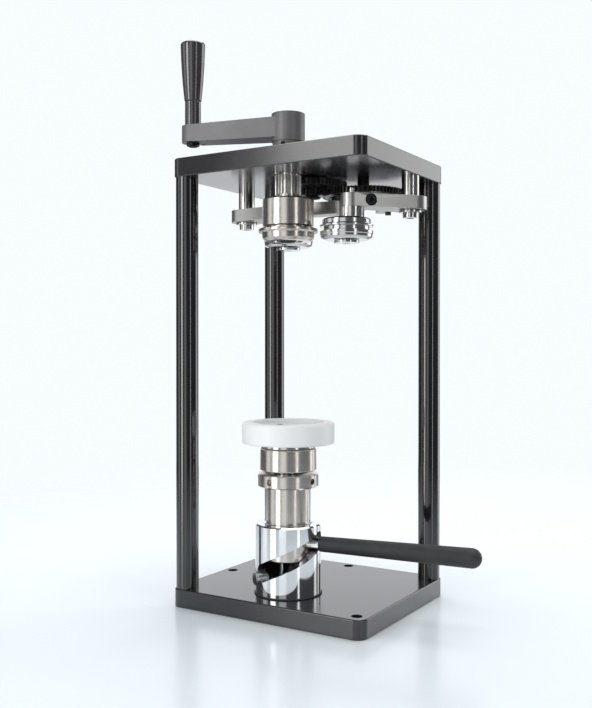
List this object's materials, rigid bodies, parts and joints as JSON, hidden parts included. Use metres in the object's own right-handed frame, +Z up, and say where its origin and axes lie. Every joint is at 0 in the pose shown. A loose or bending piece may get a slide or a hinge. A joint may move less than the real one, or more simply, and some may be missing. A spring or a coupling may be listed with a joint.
{
  "type": "can seamer",
  "caption": "Hand-cranked bench can seamer: two plates on round posts, lever-lifted can table, crank-turned chuck and two seaming rollers on swinging arms.",
  "frame": {"origin": "centre of the base plate's underside", "axes": "+Z up along the posts, +X along the front edge, +Y towards the back"},
  "size_m": [0.2954, 0.18, 0.5539],
  "materials": {
    "black_anodised": "satin black anodised plate",
    "gloss_black_post": "gloss black enamelled round bar",
    "black_oxide": "black oxide steel",
    "gear_black": "oiled blackened gear steel",
    "bright_chrome": "bright chrome plate",
    "bright_steel": "fine turned bright steel",
    "warm_nickel": "turned nickel plated steel",
    "arm_silver": "machined satin silver",
    "spring_steel": "spring wire",
    "crank_grey": "dark grey satin coating",
    "handle_gloss": "polished black plastic",
    "grip_rubber": "matt black rubber",
    "platform_white": "smooth white engineering plastic"
  },
  "bodies": {
    "frame": {"base_plate": "black_anodised", "top_plate": "black_anodised", "front_left_post": "gloss_black_post", "back_left_post": "gloss_black_post", "back_right_post": "gloss_black_post", "post_screws": "black_oxide", "lift_barrel": "bright_chrome", "barrel_seat_ring": "grip_rubber", "barrel_screws": "black_oxide", "slot_stop_pin": "bright_chrome", "spindle_bearing_outer_races": "bright_steel", "bearing_cover": "bright_steel", "cover_screws": "black_oxide", "gear_studs": "black_oxide", "stud_retainers": "black_oxide", "arm_pivot_posts": "bright_steel", "pivot_screws": "black_oxide", "stud_nuts": "black_oxide", "plate_spring_pins": "bright_steel", "first_return_spring": "spring_steel", "second_return_spring": "spring_steel"},
    "lift_carriage": {"spring_seat": "bright_steel", "pressure_spring": "spring_steel"},
    "lever": {"plunger": "warm_nickel", "adjusting_ring": "warm_nickel", "lever_rod": "bright_steel", "lever_grip": "grip_rubber"},
    "table": {"table_stem": "bright_steel", "table_housing": "warm_nickel", "table_bearing_outer_race": "bright_steel"},
    "platform": {"table_bearing_inner_race": "bright_steel", "table_hub": "bright_steel", "can_platform": "platform_white", "table_screws": "black_oxide"},
    "spindle": {"spindle": "bright_steel", "spindle_bearing_inner_races": "bright_steel", "drive_pinion": "bright_steel", "chuck_holder": "warm_nickel", "seaming_chuck": "warm_nickel", "chuck_screw": "black_oxide", "spindle_collar": "crank_grey", "collar_set_screw": "black_oxide", "crank_arm": "crank_grey", "handle_bolt": "black_oxide", "handle_nut": "black_oxide"},
    "crank_handle": {"handle_ferrule": "handle_gloss", "handle_grip": "handle_gloss"},
    "idler": {"idler_gear": "gear_black"},
    "cam": {"cam_gear": "gear_black", "seaming_cam": "gear_black"},
    "first_arm": {"first_arm": "arm_silver", "first_clamp_screw": "black_oxide", "first_roller_axle": "bright_steel", "first_cam_follower": "gear_black"},
    "first_roller": {"first_roller": "bright_chrome"},
    "second_arm": {"second_arm": "arm_silver", "second_clamp_screw": "black_oxide", "second_roller_axle": "bright_steel", "second_cam_follower": "gear_black"},
    "second_roller": {"second_roller": "bright_chrome"}
  },
  "joints": [
    {"name": "crank_turn", "type": "hinge", "parent": "frame", "child": "spindle", "pos_m": [0, -0.042, 0.427], "axis": [0, 0, 1], "continuous": true},
    {"name": "handle_spin", "type": "hinge", "parent": "spindle", "child": "crank_handle", "pos_m": [-0.09759, -0.06381, 0.52], "axis": [0, 0, 1], "continuous": true},
    {"name": "idler_turn", "type": "hinge", "parent": "frame", "child": "idler", "pos_m": [0, 0.003, 0.41], "axis": [0, 0, 1], "continuous": true},
    {"name": "cam_turn", "type": "hinge", "parent": "frame", "child": "cam", "pos_m": [0.0395, 0.03758, 0.406], "axis": [0, 0, 1], "continuous": true},
    {"name": "first_arm_swing", "type": "hinge", "parent": "frame", "child": "first_arm", "pos_m": [0.096, 0.027, 0.39], "axis": [0, 0, 1], "range_deg": [-7, 0], "stiffness_Nm_per_rad": 1.5, "springref_deg": 11.46, "deforming": ["first_return_spring"]},
    {"name": "first_roller_spin", "type": "hinge", "parent": "first_arm", "child": "first_roller", "pos_m": [0.054, -0.0245, 0.366], "axis": [0, 0, 1], "continuous": true},
    {"name": "second_arm_swing", "type": "hinge", "parent": "frame", "child": "second_arm", "pos_m": [-0.091, 0.02, 0.39], "axis": [0, 0, 1], "range_deg": [-6, 0], "stiffness_Nm_per_rad": 1.5, "springref_deg": 11.46, "deforming": ["second_return_spring"]},
    {"name": "second_roller_spin", "type": "hinge", "parent": "second_arm", "child": "second_roller", "pos_m": [-0.03, 0.0065, 0.366], "axis": [0, 0, 1], "continuous": true},
    {"name": "table_lift", "type": "slide", "parent": "frame", "child": "lift_carriage", "axis": [0, 0, 1], "range_m": [-0.0262, 0]},
    {"name": "lever_swing", "type": "hinge", "parent": "lift_carriage", "child": "lever", "pos_m": [0, -0.042, 0.067], "axis": [0, 0, 1], "range_deg": [-105, 0]},
    {"name": "table_press", "type": "slide", "parent": "lift_carriage", "child": "table", "axis": [0, 0, 1], "range_m": [-0.0024, 0], "stiffness_N_per_m": 8000, "springref_m": 0.004, "deforming": ["pressure_spring"]},
    {"name": "platform_spin", "type": "hinge", "parent": "table", "child": "platform", "pos_m": [0, -0.042, 0.165], "axis": [0, 0, 1], "continuous": true}
  ],
  "couplings": [
    {"joint": "idler_turn", "follows": "crank_turn", "ratio": -0.33333},
    {"joint": "cam_turn", "follows": "crank_turn", "ratio": 0.10417},
    {"joint": "table_lift", "follows": "lever_swing", "m_per_rad": 0.014267}
  ]
}
